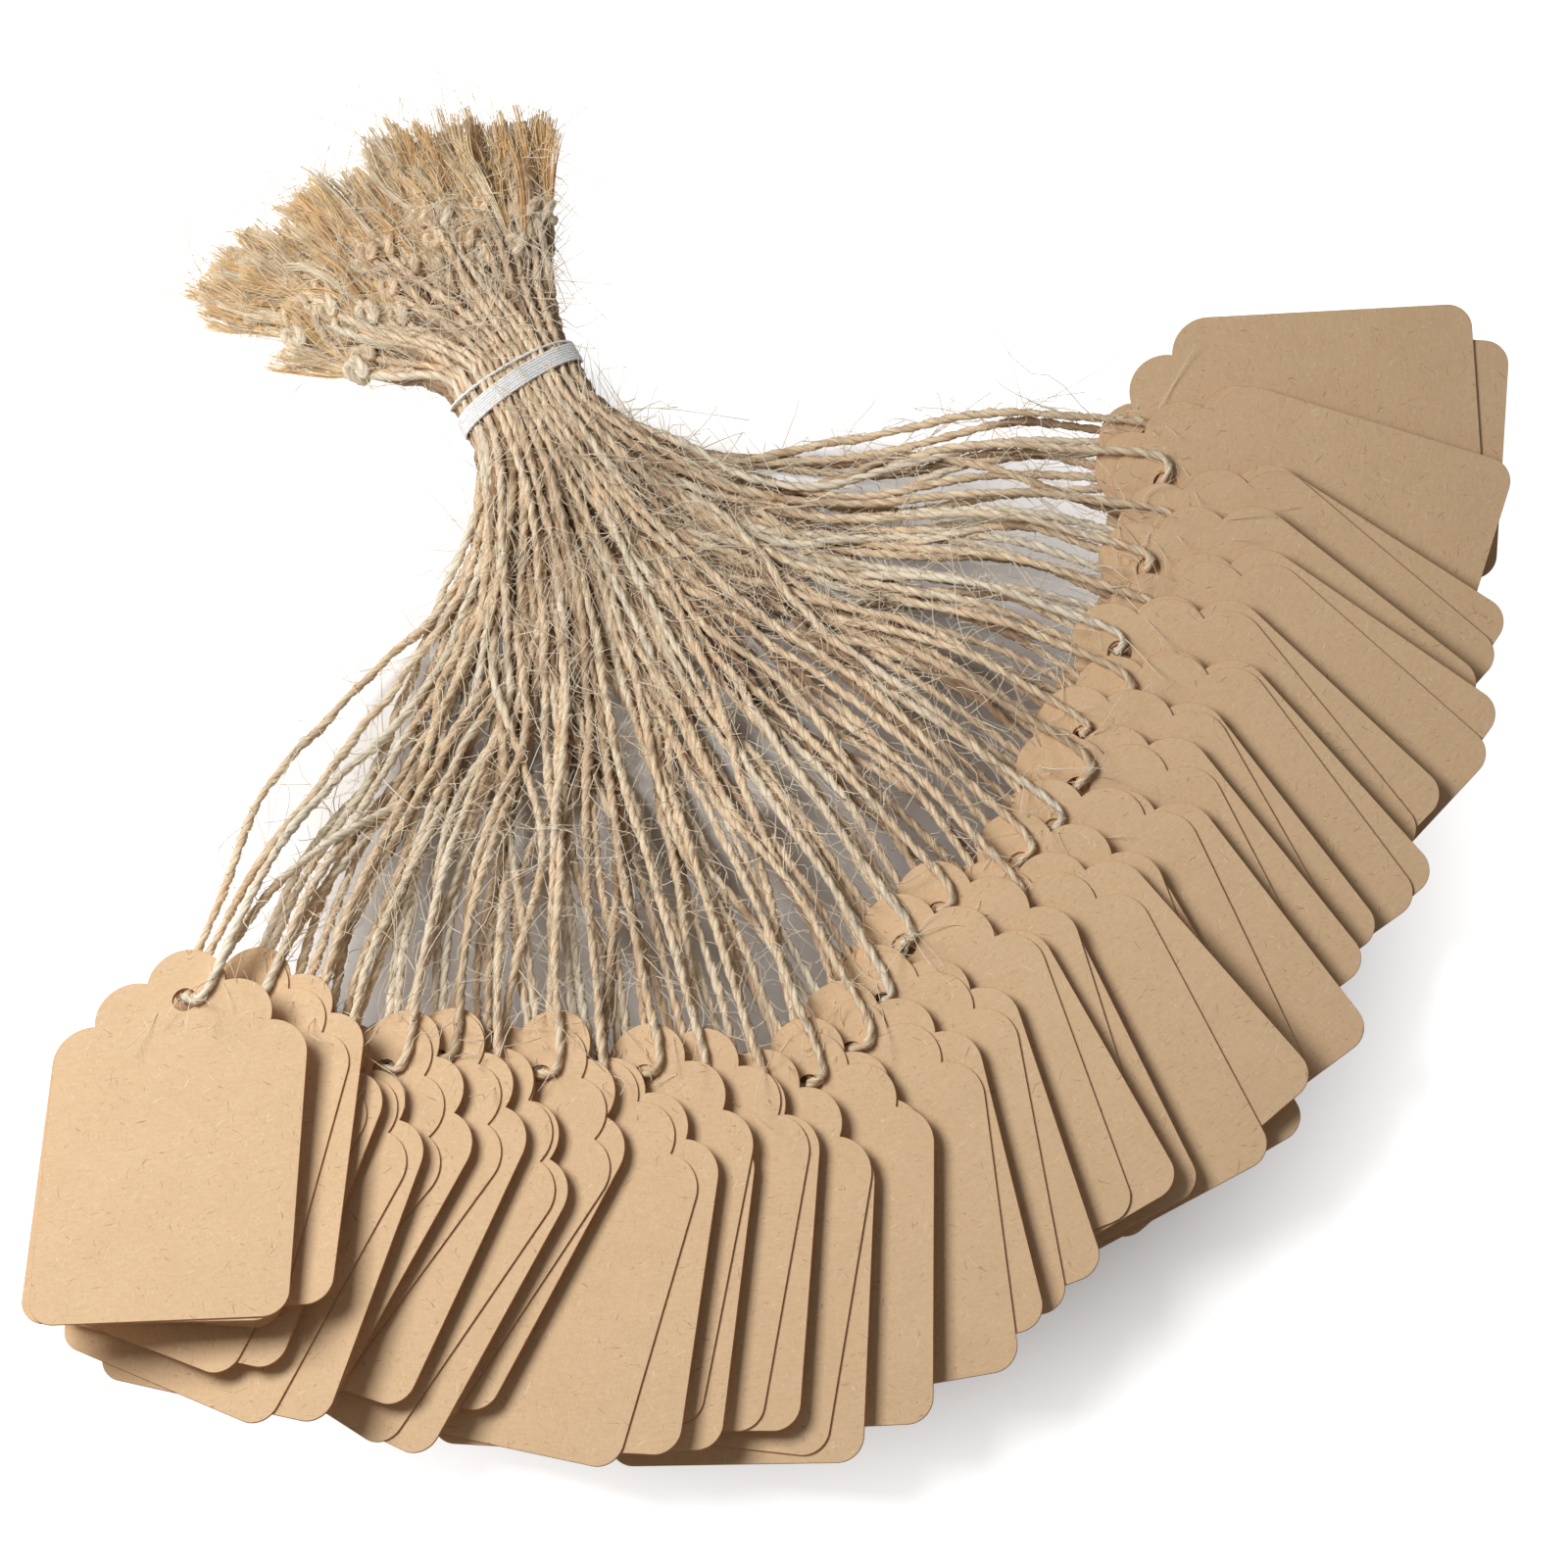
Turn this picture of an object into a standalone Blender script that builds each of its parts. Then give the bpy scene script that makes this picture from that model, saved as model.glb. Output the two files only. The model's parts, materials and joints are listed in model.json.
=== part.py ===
"""A tied bundle of kraft price tags: scalloped cards, each on its own loop of jute twine.

The loops are gathered under one winding of cotton thread. The cards lie fanned in front of it,
each lapped over the next one, and the knotted twine ends flare out behind it.
Lengths are in metres and angles in degrees. The table that the bundle lies on is z = 0.
"""

import math
import random

import bpy
from mathutils import Matrix, Vector
from mathutils.geometry import interpolate_bezier
from mathutils.kdtree import KDTree

# The card
CARD_WIDTH = 0.045
CARD_HEIGHT = 0.070
CARD_THICKNESS = 0.0004
LOBE_RADIUS = 0.007
HOLE_FROM_TOP = 0.0098
HOLE_RADIUS = 0.0022
SHOULDER_DROP = 0.0116
MIDDLE_LOBE_PUSH = 0.0015
FOOT_RADIUS = 0.0045
ARC_STEP = 27

# The twine and the thread that ties it
TWINE_DIAMETER = 0.0012
TWINE_PITCH = 0.0017
THREAD_DIAMETER = 0.0006
THREAD_PITCH = 0.00105
CLOSE_TURNS = 3
LOOSE_TURN_PITCH = 0.0042
TURN_POINTS = 20

# The fan of cards
TAG_COUNT = 29
FAN_START = -112.5
FAN_RADII = (0.142, 0.143, 0.150, 0.141, 0.127, 0.121)
RADIUS_SCATTER = 0.006
CARD_TILT = 17.3
FIRST_TILT = 9
FIRST_LIFT = 0.006
CARD_YAW = (21, -13, -31, -35, -22, -28, -20, -17, -18, -22, -25, -24, -22, 8)
YAW_SCATTER = 5
DOWNHILL_SWING = 3
CLEARANCE = 0.0003
LAYER_SLACK = 0.0003
SCATTER_SEED = 18471

# The hank of twine behind the fan
HANK_HEADING = -63
HANK_HALF = 0.006
HANK_FLATNESS = 1.8
STRAND_PULL_TIE = 0.012
STRAND_PULL_CARD = 0.040
STRAND_SAG = 0.003
STRAND_FALLS = (0.18, 0.60)
STRAND_ROLLS = (0.42, 0.70)
STRAND_RISES = (0.68, 1.0)
STRAND_LEAN = 70
STRAND_POINTS = 12
KNOT_NEAR = 0.026
KNOT_FAR = 0.046
KNOT_ROWS = 4
KNOT_LENGTH = 0.0045
KNOT_SWELL = 1.6
KNOT_SPREAD = 0.0013
TAIL_LENGTH = 0.023
TAIL_SPREAD = 0.0006
TAIL_BEND = 10
TAIL_FLARE = 35
TAIL_LIFT = 0.85

KRAFT = (0.753, 0.479, 0.254, 1.0)
JUTE = (0.552, 0.371, 0.181, 1.0)
COTTON = (0.83, 0.81, 0.79, 1.0)


def clear_scene():
    for obj in list(bpy.data.objects):
        bpy.data.objects.remove(obj, do_unlink=True)


def finish(name, colour, roughness):
    """A plain Principled material."""
    material = bpy.data.materials.new(name)
    material.use_nodes = True
    shader = material.node_tree.nodes["Principled BSDF"]
    shader.inputs["Base Color"].default_value = colour
    shader.inputs["Roughness"].default_value = roughness
    shader.inputs["Metallic"].default_value = 0.0
    return material


def direction(angle):
    """The level unit vector at this angle, counted from +X towards +Y."""
    return Vector((math.cos(math.radians(angle)), math.sin(math.radians(angle)), 0))


def arc(centre, radius, start, end):
    """Points round an arc from one angle to another, the last one left out."""
    count = max(2, round(abs(end - start) / ARC_STEP))
    steps = [start + (end - start) * k / count for k in range(count)]
    return [centre + direction(angle) * radius for angle in steps]


def heading(vector):
    return math.degrees(math.atan2(vector.y, vector.x))


def notch(left, right):
    """The outer crossing of two lobes of LOBE_RADIUS, as angles seen from each centre."""
    across = right - left
    outward = Vector((-across.y, across.x, 0)).normalized()
    depth = math.sqrt(LOBE_RADIUS**2 - (across.length / 2) ** 2)
    point = left + across / 2 + outward * depth
    return heading(point - left), heading(point - right)


def card_outline():
    """The card's edge, anticlockwise from the right foot, with the hole's centre at the origin."""
    half = CARD_WIDTH / 2
    foot = HOLE_FROM_TOP - CARD_HEIGHT
    head = Vector((0, HOLE_FROM_TOP - LOBE_RADIUS, 0))
    corner = Vector((half - LOBE_RADIUS, -SHOULDER_DROP, 0))
    slope = corner - head
    push = Vector((-slope.y, slope.x, 0)).normalized() * MIDDLE_LOBE_PUSH
    middle = (head + corner) / 2 + push
    head_side, middle_inner = notch(head, middle)
    middle_outer, corner_side = notch(middle, corner)
    right_foot = Vector((half - FOOT_RADIUS, foot + FOOT_RADIUS, 0))
    right = arc(right_foot, FOOT_RADIUS, -90, 0) + [right_foot + direction(0) * FOOT_RADIUS]
    right += arc(corner, LOBE_RADIUS, 0, corner_side)
    right += arc(middle, LOBE_RADIUS, middle_outer, middle_inner)
    right += arc(head, LOBE_RADIUS, head_side, 90)
    left = [Vector((-p.x, p.y, 0)) for p in reversed(right)]
    return right + [head + direction(90) * LOBE_RADIUS] + left


def card_curve(outline):
    """One card with its punched hole, as a filled and extruded curve."""
    curve = bpy.data.curves.new("tag_card", "CURVE")
    curve.dimensions = "2D"
    curve.fill_mode = "BOTH"
    curve.extrude = CARD_THICKNESS / 2
    for ring in (outline, arc(Vector(), HOLE_RADIUS, 0, 360)):
        spline = curve.splines.new("POLY")
        spline.points.add(len(ring) - 1)
        spline.use_cyclic_u = True
        for point, place in zip(spline.points, ring):
            point.co = (*place, 1)
    return curve


def ease(share):
    """A smooth step from 0 to 1."""
    share = min(1, max(0, share))
    return share * share * (3 - 2 * share)


def ease_between(stretch, share):
    """A smooth step from 0 to 1 over this stretch of the way."""
    start, end = stretch
    return ease((share - start) / (end - start))


def along(values, share):
    """A smooth value at this share of the way through a list of evenly spaced ones."""
    place = share * (len(values) - 1)
    before = min(int(place), len(values) - 2)
    return values[before] + (values[before + 1] - values[before]) * ease(place - before)


def layer_pitch():
    """How far apart two lapped cards lie, with a strand of twine between them."""
    return CARD_THICKNESS + TWINE_DIAMETER + 2 * CLEARANCE + LAYER_SLACK


def card_frames(outline):
    """Each card's frame: its hole's centre, its right, its way to the head and its upper normal."""
    scatter = random.Random(SCATTER_SEED)
    frames = []
    bearing = FAN_START
    for k in range(TAG_COUNT):
        share = k / (TAG_COUNT - 1)
        tilt = math.radians(CARD_TILT if k else FIRST_TILT)
        radius = along(FAN_RADII, share)
        place = radius + scatter.uniform(-RADIUS_SCATTER, RADIUS_SCATTER)
        right = direction(bearing + 90) * math.cos(tilt) + Vector((0, 0, math.sin(tilt)))
        to_head = -direction(bearing)
        normal = right.cross(to_head)
        turn = math.radians(along(CARD_YAW, share) + scatter.uniform(-YAW_SCATTER, YAW_SCATTER))
        spin = Matrix.Rotation(turn, 3, normal)
        hole = direction(bearing) * place + Vector((0, 0, 0 if k else FIRST_LIFT))
        frames.append((hole, spin @ right, spin @ to_head, normal))
        across = layer_pitch() / math.sin(math.radians(CARD_TILT))
        bearing += math.degrees(across / (radius - HOLE_FROM_TOP))
    drop = lowest_reach(frames, outline)
    return [(hole - Vector((0, 0, drop)), *axes) for hole, *axes in frames]


def lowest_reach(frames, outline):
    """The lowest height that a card's edge comes to, also when it has swung downhill."""
    lowest = 0
    for hole, right, to_head, normal in frames:
        swing = Matrix.Rotation(-math.radians(DOWNHILL_SWING), 3, normal)
        for turn in (Matrix.Identity(3), swing):
            heights = [(turn @ (right * p.x + to_head * p.y)).z for p in outline]
            lowest = min(lowest, hole.z + min(heights))
    return lowest - CARD_THICKNESS


def flattened(place):
    """How far out a place across the hank is, on the ellipse that the hank has settled to."""
    return math.hypot(place.x / HANK_FLATNESS, place.y)


def hank_cells():
    """Places across the hank for the twines: the lattice points nearest its middle, in fan order.

    A cell is one twine wide and two high, for the two strands of a loop.
    """
    reach = range(-TAG_COUNT, TAG_COUNT + 1)
    cells = [Vector((u * TWINE_PITCH, v * 2 * TWINE_PITCH)) for u in reach for v in reach]
    cells.sort(key=lambda cell: (round(flattened(cell), 6), cell.x, cell.y))
    return sorted(cells[:TAG_COUNT], key=lambda cell: (round(cell.x, 6), -cell.y))


def hank_halves(cells):
    """Half the width and half the height of the gathered twine under its tie."""
    corners = [Vector((abs(c.x), abs(c.y) + TWINE_PITCH / 2)) for c in cells]
    reach = max(flattened(corner) for corner in corners)
    return Vector((reach * HANK_FLATNESS, reach)) + Vector((1, 1)) * TWINE_DIAMETER / 2


def tie_halves(cells):
    """Half the width and half the height of the thread's turns round the hank."""
    return hank_halves(cells) + Vector((1, 1)) * (CLEARANCE + THREAD_DIAMETER / 2)


def hank_middle(cells):
    """The centre of the tie, which lies on the table."""
    return Vector((0, 0, tie_halves(cells).y + THREAD_DIAMETER / 2 + CLEARANCE))


def off_card():
    """How far a strand's middle lies from the middle of the card that it passes."""
    return CARD_THICKNESS / 2 + CLEARANCE + TWINE_DIAMETER / 2


def strands_to_card(frame, mouth):
    """The loop's upper and lower strands from the tie's mouth to the card's hole.

    They leave the tie one above the other, sag towards the table and roll over side by side,
    then rise to the card, where one passes over its head and the other under it.
    """
    hole, _, _, normal = frame
    inward = mouth - hole
    inward = (inward - normal * inward.dot(normal)).normalized()
    head = hole + inward * (HOLE_FROM_TOP + 2 * RADIUS_SCATTER)
    pull = direction(HANK_HEADING) * STRAND_PULL_TIE
    run = interpolate_bezier(mouth, mouth + pull, head + inward * STRAND_PULL_CARD, head, STRAND_POINTS)
    beside = Vector((inward.y, -inward.x, 0)).normalized()
    upper = []
    lower = []
    for k, point in enumerate(run):
        share = k / (STRAND_POINTS - 1)
        fallen = ease_between(STRAND_FALLS, share)
        risen = ease_between(STRAND_RISES, share)
        lean = math.radians(STRAND_LEAN) * ease_between(STRAND_ROLLS, share) * (1 - risen)
        apart = TWINE_PITCH / 2 + (off_card() - TWINE_PITCH / 2) * risen
        leaning = beside * math.sin(lean) + Vector((0, 0, math.cos(lean)))
        offset = leaning.lerp(normal, risen).normalized() * apart
        lying = STRAND_SAG + offset.z
        point.z = mouth.z + (lying - mouth.z) * fallen + (head.z - lying) * risen
        upper.append(point + offset)
        lower.append(point - offset)
    rim = hole + inward * (HOLE_RADIUS - CLEARANCE - TWINE_DIAMETER / 2)
    upper.append(rim + normal * off_card())
    lower.append(rim - normal * off_card())
    return upper + turn_through_hole(rim, inward, normal) + lower[::-1]


def turn_through_hole(rim, inward, normal):
    """The bend of the loop inside the hole, from the upper strand to the lower one."""
    angles = [math.radians(angle) for angle in (45, 90, 135)]
    return [rim + (normal * math.cos(a) - inward * math.sin(a)) * off_card() for a in angles]


def tail_run(cell, k, side, back):
    """One strand from behind the tie through its knot to its frayed end, with each point's girth."""
    backward = -direction(HANK_HEADING)
    across = direction(HANK_HEADING + 90)
    halves = hank_halves(hank_cells())
    flare = math.radians(TAIL_FLARE * cell.x / halves.x - TAIL_BEND)
    outward = backward * math.cos(flare) + across * math.sin(flare)
    sideways = across * math.cos(flare) - backward * math.sin(flare)
    row = KNOT_NEAR + (KNOT_FAR - KNOT_NEAR) * (k * 3 % KNOT_ROWS) / (KNOT_ROWS - 1)
    lowest = TWINE_DIAMETER * KNOT_SWELL
    centre = back + outward * row
    centre.z = lowest + (cell.y + halves.y) * TAIL_LIFT
    start = back + Vector((0, 0, side * TWINE_PITCH / 2))
    knot = centre + sideways * side * KNOT_SPREAD
    middle = back.lerp(centre, 0.5)
    quarter = middle + (sideways + Vector((0, 0, 1))) * side * KNOT_SPREAD / 2
    ends = [(start, 1), (quarter, 1)]
    for share, swell in ((-0.5, 1), (-0.2, KNOT_SWELL), (0.2, KNOT_SWELL), (0.5, 1)):
        ends.append((knot + outward * KNOT_LENGTH * share, swell))
    tip = knot + outward * TAIL_LENGTH + sideways * side * TAIL_SPREAD
    return ends + [(tip, 1)]


def twine_route(frame, cell, k, middle):
    """The whole twine of one tag: tail, knot, strand, hole, strand, knot and tail."""
    forward = direction(HANK_HEADING)
    across = direction(HANK_HEADING + 90)
    seat = middle + across * cell.x + Vector((0, 0, cell.y))
    front = seat + forward * HANK_HALF
    back = seat - forward * HANK_HALF
    loop = [(point, 1) for point in strands_to_card(frame, front)]
    return tail_run(cell, k, 1, back)[::-1] + loop + tail_run(cell, k, -1, back)


def tie_route(cells):
    """The thread's close turns round the hank and one looser turn on the knots' side."""
    backward = -direction(HANK_HEADING)
    across = direction(HANK_HEADING + 90)
    middle = hank_middle(cells)
    halves = tie_halves(cells)
    route = []
    for k in range((CLOSE_TURNS + 1) * TURN_POINTS + 1):
        turn = k / TURN_POINTS
        shift = THREAD_PITCH * (min(turn, CLOSE_TURNS) - CLOSE_TURNS / 2)
        shift += LOOSE_TURN_PITCH * max(0, turn - CLOSE_TURNS)
        angle = 2 * math.pi * turn
        ring = across * math.cos(angle) * halves.x + Vector((0, 0, math.sin(angle) * halves.y))
        route.append((middle + backward * shift + ring, 1))
    return route


def tube(name, route, diameter, sides_step, material, holder):
    """A round cord along a route of points and girths, closed at both ends."""
    curve = bpy.data.curves.new(name, "CURVE")
    curve.dimensions = "3D"
    curve.bevel_depth = diameter / 2
    curve.bevel_resolution = sides_step
    curve.use_fill_caps = True
    spline = curve.splines.new("POLY")
    spline.points.add(len(route) - 1)
    spline.use_smooth = True
    for point, (place, girth) in zip(spline.points, route):
        point.co = (*place, 1)
        point.radius = girth
    obj = bpy.data.objects.new(name, curve)
    obj.parent = holder
    curve.materials.append(material)
    bpy.context.collection.objects.link(obj)
    return obj


def fine_points(route, step):
    """Points close together along a route, each with its distance from the start."""
    points = []
    travelled = 0
    for (start, _), (end, _) in zip(route, route[1:]):
        length = (end - start).length
        count = max(1, math.ceil(length / step))
        points += [(start.lerp(end, k / count), travelled + length * k / count) for k in range(count)]
        travelled += length
    return points


def least_gap(route, diameter):
    """The smallest free space between two stretches of one cord."""
    points = fine_points(route, diameter / 2)
    tree = KDTree(len(points))
    for k, (place, _) in enumerate(points):
        tree.insert(place, k)
    tree.balance()
    reach = 4 * diameter
    gap = reach
    for place, travelled in points:
        for _, other, distance in tree.find_range(place, reach):
            if abs(points[other][1] - travelled) > math.pi * diameter:
                gap = min(gap, distance - diameter)
    return gap


def stand_on_origin(holder, pieces):
    """Moves the bundle so that its origin is below the middle of the cards and their tie."""
    bpy.context.view_layer.update()
    corners = [piece.matrix_world @ Vector(c) for piece in pieces for c in piece.bound_box]
    for axis in (0, 1):
        spread = [corner[axis] for corner in corners]
        holder.location[axis] = -(min(spread) + max(spread)) / 2


def build():
    clear_scene()
    holder = bpy.data.objects.new("price_tags", None)
    bpy.context.collection.objects.link(holder)
    kraft = finish("kraft_card", KRAFT, 0.85)
    jute = finish("jute_twine", JUTE, 0.9)
    cotton = finish("cotton_thread", COTTON, 0.7)

    outline = card_outline()
    curve = card_curve(outline)
    curve.materials.append(kraft)
    frames = card_frames(outline)
    cells = hank_cells()
    middle = hank_middle(cells)
    cards = []
    gaps = []
    for k, (frame, cell) in enumerate(zip(frames, cells)):
        hole, right, to_head, normal = frame
        card = bpy.data.objects.new(f"tag_card_{k + 1:02d}", curve)
        card.parent = holder
        card.matrix_local = Matrix((right, to_head, normal)).transposed().to_4x4()
        card.location = hole
        bpy.context.collection.objects.link(card)
        cards.append(card)
        route = twine_route(frame, cell, k, middle)
        gaps.append(least_gap(route, TWINE_DIAMETER))
        tube(f"twine_{k + 1:02d}", route, TWINE_DIAMETER, 0, jute, holder)

    winding = tie_route(cells)
    tie = tube("tie_thread", winding, THREAD_DIAMETER, 1, cotton, holder)
    stand_on_origin(holder, cards + [tie])
    print(f"least gap of a twine to itself: {min(gaps) * 1000:.2f} mm")
    print(f"least gap of the thread to itself: {least_gap(winding, THREAD_DIAMETER) * 1000:.2f} mm")


build()
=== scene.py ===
# Looks for a tied bundle of kraft price tags: card, jute twine and cotton thread
import json
import math
import random

import bpy
import numpy as np
from mathutils import Matrix, Vector


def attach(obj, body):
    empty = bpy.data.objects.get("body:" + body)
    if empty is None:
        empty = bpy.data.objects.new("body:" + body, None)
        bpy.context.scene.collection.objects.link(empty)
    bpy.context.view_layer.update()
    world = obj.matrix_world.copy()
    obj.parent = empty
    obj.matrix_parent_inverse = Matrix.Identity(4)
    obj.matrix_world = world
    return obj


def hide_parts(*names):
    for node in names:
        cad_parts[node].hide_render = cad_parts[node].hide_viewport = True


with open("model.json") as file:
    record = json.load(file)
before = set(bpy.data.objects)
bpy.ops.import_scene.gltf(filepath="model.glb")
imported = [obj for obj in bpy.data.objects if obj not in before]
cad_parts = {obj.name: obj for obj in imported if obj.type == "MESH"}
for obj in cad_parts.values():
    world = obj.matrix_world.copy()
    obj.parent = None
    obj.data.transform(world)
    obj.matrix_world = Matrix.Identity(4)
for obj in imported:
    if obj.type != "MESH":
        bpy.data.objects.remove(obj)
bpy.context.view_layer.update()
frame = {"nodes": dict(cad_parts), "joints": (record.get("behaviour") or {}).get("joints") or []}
cardNames = sorted(name for name in frame["nodes"] if name.startswith("tag_card"))
twineNames = sorted(name for name in frame["nodes"] if name.startswith("twine"))
holding = {joint["child"]: joint for joint in frame["joints"]}  # the swing of each card about its hole
print("frame loaded:", len(cardNames), "cards,", len(twineNames), "twines")

up = np.array([0.0, 0.0, 1.0])

hank = {
    "tiePlace": (-0.050901, 0.101669),  # the tie's middle, seen from above
    "heading": -63,  # from the knots towards the cards, in degrees
    "rise": 0.0073,  # of the tie's middle over the table
    "flatness": 2.3,  # width to height of the gathered twine
    "half": 0.006,  # the straight stretch under the tie, each way from its middle
    "strandGap": 0.00142,
}


def unit(vectors):
    return vectors / np.linalg.norm(vectors, axis=-1, keepdims=True)


def level(angle):
    return np.array([math.cos(math.radians(angle)), math.sin(math.radians(angle)), 0.0])


def ease(share):
    share = np.clip(share, 0, 1)
    return share * share * (3 - 2 * share)


tieMiddle = np.array([*hank["tiePlace"], hank["rise"]])
forward = level(hank["heading"])
across = level(hank["heading"] + 90)


# Camera at the photograph's viewing angle

view = {
    "target": (0.0496, -0.0784),  # from the tie, over the table
    "elevation": 64,
    "distance": 0.9,
    "lens": 113.4,
}


def placeCamera():
    rise = math.radians(view["elevation"])
    away = Vector((0, -math.cos(rise), math.sin(rise))) * view["distance"]
    aim = Vector((tieMiddle[0] + view["target"][0], tieMiddle[1] + view["target"][1], 0))
    data = bpy.data.cameras.new("photo_camera")
    data.lens = view["lens"]
    data.sensor_width = 36
    camera = bpy.data.objects.new("photo_camera", data)
    camera.location = aim + away
    camera.rotation_euler = (-away).to_track_quat("-Z", "Y").to_euler()
    bpy.context.scene.collection.objects.link(camera)
    bpy.context.scene.camera = camera


placeCamera()


# Mesh helpers


def linkMesh(name, mesh, material):
    mesh.materials.append(material)
    piece = bpy.data.objects.new(name, mesh)
    bpy.context.scene.collection.objects.link(piece)
    return piece


def meshFromRings(name, groups):
    # each group is (rings, lay, closed): rings holds tubes x rings x corners x 3
    corners, quads, caps, lays = [], [], [], []
    base = 0
    for rings, lay, closed in groups:
        index = base + np.arange(rings[..., 0].size).reshape(rings.shape[:3])
        near, far = (index, np.roll(index, -1, 1)) if closed else (index[:, :-1], index[:, 1:])
        turn = np.roll(near, -1, 2), np.roll(far, -1, 2)
        quads.append(np.stack([near, turn[0], turn[1], far], -1).reshape(-1, 4))
        if not closed:
            caps += list(index[:, 0, ::-1]) + list(index[:, -1])
        corners.append(rings.reshape(-1, 3))
        lays.append(lay.reshape(-1, 3))
        base += rings[..., 0].size
    corners, quads, lays = np.concatenate(corners), np.concatenate(quads), np.concatenate(lays)
    loops = np.concatenate([quads.ravel(), *caps]) if caps else quads.ravel()
    sizes = np.concatenate([np.full(len(quads), 4), np.array([len(cap) for cap in caps], int)])
    mesh = bpy.data.meshes.new(name)
    mesh.vertices.add(len(corners))
    mesh.vertices.foreach_set("co", corners.astype(np.float32).ravel())
    mesh.loops.add(len(loops))
    mesh.loops.foreach_set("vertex_index", loops.astype(np.int32))
    mesh.polygons.add(len(sizes))
    mesh.polygons.foreach_set("loop_start", (np.cumsum(sizes) - sizes).astype(np.int32))
    mesh.polygons.foreach_set("use_smooth", np.ones(len(sizes), bool))
    mesh.update(calc_edges=True)
    store = mesh.attributes.new("lay", "FLOAT_VECTOR", "POINT")  # along, around, tone
    store.data.foreach_set("vector", lays.astype(np.float32).ravel())
    mesh.validate()
    return mesh


def ringsAlong(paths, beside, radii):
    # paths and beside: tubes x rings x 3; radii: tubes x rings x corners
    tangent = unit(np.gradient(paths, axis=1))
    first = unit(beside - (beside * tangent).sum(-1, keepdims=True) * tangent)
    second = np.cross(tangent, first)
    count = radii.shape[-1]
    angles = 2 * math.pi * np.arange(count) / count
    spokes = (
        first[:, :, None] * np.cos(angles)[None, None, :, None]
        + second[:, :, None] * np.sin(angles)[None, None, :, None]
    )
    return paths[:, :, None] + spokes * radii[..., None]


def lengthsAlong(path):
    steps = np.linalg.norm(np.diff(path, axis=0), axis=1)
    return np.concatenate([[0], np.cumsum(steps)])


def evenly(path, count, *others):
    travelled = lengthsAlong(path)
    stations = np.linspace(0, travelled[-1], count)
    made = [
        np.stack([np.interp(stations, travelled, values[:, axis]) for axis in range(3)], 1)
        for values in (path, *others)
    ]
    return made[0] if not others else made


def bezier(start, pullStart, pullEnd, end, count):
    share = np.linspace(0, 1, count)[:, None]
    rest = 1 - share
    return rest**3 * start + 3 * rest**2 * share * pullStart + 3 * rest * share**2 * pullEnd + share**3 * end


# Materials


class nodeTree:
    def __init__(self, name):
        self.material = bpy.data.materials.new(name)
        self.material.use_nodes = True
        self.tree = self.material.node_tree
        self.shader = self.tree.nodes["Principled BSDF"]

    def add(self, kind, **settings):
        node = self.tree.nodes.new(kind)
        for key, value in settings.items():
            if key.startswith("in_"):
                node.inputs[key[3:]].default_value = value
            else:
                setattr(node, key, value)
        return node

    def join(self, source, target):
        self.tree.links.new(source, target)

    def noise(self, vector, scale, detail=3.0, roughness=0.55, stretch=None, turn=None, warp=0.0):
        if stretch or turn:
            mapping = self.add("ShaderNodeMapping", vector_type="TEXTURE")
            mapping.inputs["Scale"].default_value = [1 / amount for amount in stretch or (1, 1, 1)]
            mapping.inputs["Rotation"].default_value = turn or (0, 0, 0)
            self.join(vector, mapping.inputs["Vector"])
            vector = mapping.outputs["Vector"]
        node = self.add("ShaderNodeTexNoise", in_Scale=scale, in_Detail=detail, in_Roughness=roughness)
        node.inputs["Distortion"].default_value = warp
        self.join(vector, node.inputs["Vector"])
        return node.outputs["Fac"]

    def span(self, value, low, high, toLow=0.0, toHigh=1.0):
        node = self.add("ShaderNodeMapRange", interpolation_type="SMOOTHSTEP")
        for key, amount in (("From Min", low), ("From Max", high), ("To Min", toLow), ("To Max", toHigh)):
            node.inputs[key].default_value = amount
        self.join(value, node.inputs["Value"])
        return node.outputs["Result"]

    def mix(self, share, first, second, blend="MIX"):
        node = self.add("ShaderNodeMix", data_type="RGBA", blend_type=blend)
        for socket, value in ((node.inputs[0], share), (node.inputs[6], first), (node.inputs[7], second)):
            if isinstance(value, bpy.types.NodeSocket):
                self.join(value, socket)
            else:
                socket.default_value = value
        return node.outputs[2]

    def sums(self, operation, first, second):
        node = self.add("ShaderNodeMath", operation=operation)
        for socket, value in ((node.inputs[0], first), (node.inputs[1], second)):
            if isinstance(value, bpy.types.NodeSocket):
                self.join(value, socket)
            else:
                socket.default_value = value
        return node.outputs[0]

    def bump(self, height, strength, distance):
        node = self.add("ShaderNodeBump", in_Strength=strength, in_Distance=distance)
        self.join(height, node.inputs["Height"])
        self.join(node.outputs["Normal"], self.shader.inputs["Normal"])


kraftLook = {
    "light": (0.805, 0.563, 0.340, 1),
    "dark": (0.730, 0.500, 0.293, 1),
    "fibreDark": (0.34, 0.19, 0.09, 1),
    "fibrePale": (0.95, 0.80, 0.60, 1),
    "edge": (0.42, 0.165, 0.045, 1),
    "darkTurns": (0.2, 0.95, 1.75, 2.6),  # headings of the loose fibres in the pulp
    "paleTurns": (0.55, 1.35, 2.2),
    "sparse": 0.795,  # the higher, the fewer fibres
}


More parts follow.
